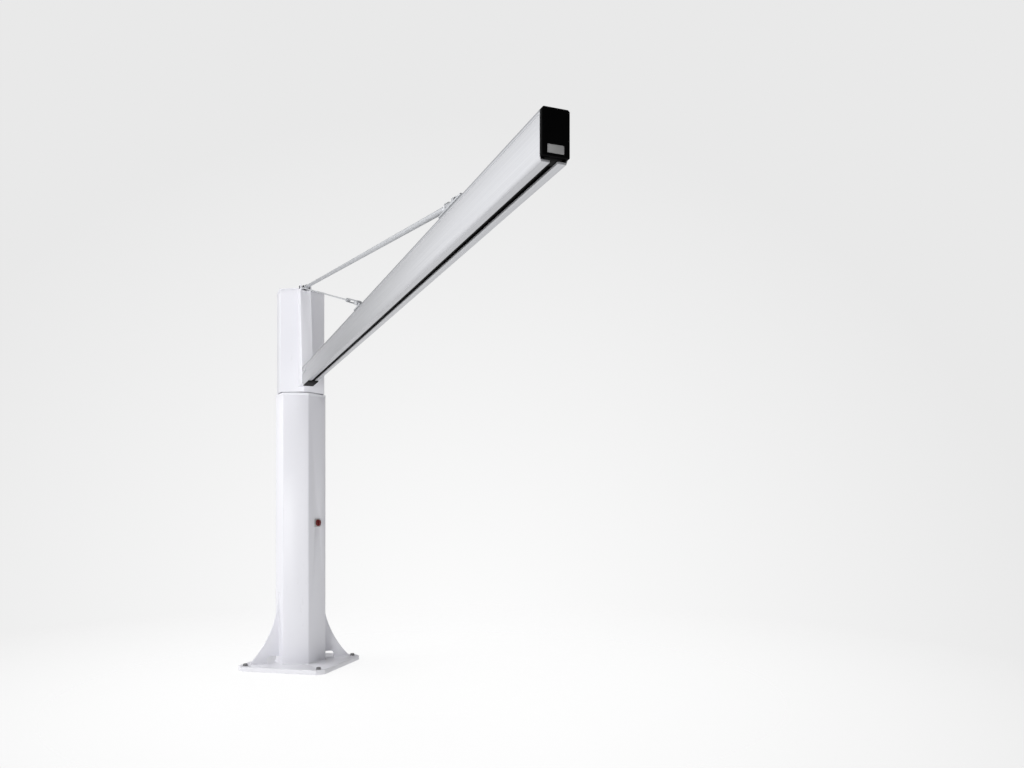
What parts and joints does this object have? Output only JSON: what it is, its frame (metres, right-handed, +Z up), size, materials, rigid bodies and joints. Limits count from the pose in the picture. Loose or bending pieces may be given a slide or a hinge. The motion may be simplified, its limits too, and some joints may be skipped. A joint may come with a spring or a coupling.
{
  "type": "column-mounted jib crane",
  "caption": "Six-sided column on a square foot plate with curved gussets; a turning head carries a slotted hollow rail held by a sloping tie rod and a thin stay.",
  "frame": {"origin": "centre of the foot plate's underside, on the slewing axis, at floor level", "axes": "+Z up along the slewing axis; +X along the jib at rest, from the column to the outer end; +Y to the left of someone who looks out along the jib"},
  "size_m": [6.3745, 1.129, 3.5179],
  "materials": {
    "white_paint": "light grey-white powder coat",
    "plain_steel": "machined steel",
    "bronze_bush": "turned bronze",
    "rail_alloy": "anodised aluminium extrusion",
    "cap_black": "black moulded plastic",
    "buffer_rubber": "black rubber",
    "zinc_steel": "zinc-plated steel",
    "switch_frame": "plain moulded plastic",
    "knob_red": "red moulded plastic"
  },
  "bodies": {
    "column": {"base_plate": "white_paint", "column_shell": "white_paint", "gusset_left": "white_paint", "gusset_right": "white_paint", "column_top_plate": "white_paint", "pivot_post": "plain_steel", "thrust_ring": "plain_steel", "pivot_nut": "plain_steel", "switch_plate": "switch_frame", "switch_box": "switch_frame"},
    "switch": {"switch_knob": "knob_red"},
    "jib": {"head_shell": "white_paint", "head_lid": "white_paint", "lower_bearing_plate": "plain_steel", "upper_bearing_plate": "plain_steel", "lower_bush": "bronze_bush", "upper_bush": "bronze_bush", "front_bracket": "white_paint", "rail_tongue": "plain_steel", "jib_rail": "rail_alloy", "inner_end_cap": "cap_black", "outer_end_cap": "cap_black", "inner_buffer": "buffer_rubber", "outer_buffer": "buffer_rubber", "tie_rod": "zinc_steel", "tie_upper_eye": "zinc_steel", "tie_lower_fork": "zinc_steel", "tie_saddle": "zinc_steel", "tie_pins": "zinc_steel", "stay_rod": "zinc_steel", "stay_upper_eye": "zinc_steel", "stay_turnbuckle": "zinc_steel", "stay_saddle": "zinc_steel", "stay_pins": "zinc_steel"}
  },
  "joints": [
    {"name": "jib_slew", "type": "hinge", "parent": "column", "child": "jib", "pos_m": [0, 0, 2.6], "axis": [0, 0, 1], "range_deg": [-135, 135]},
    {"name": "switch_turn", "type": "hinge", "parent": "column", "child": "switch", "pos_m": [0.1559, 0.13082, 1.34], "axis": [0.766, 0.6428, 0], "range_deg": [0, 90]}
  ]
}
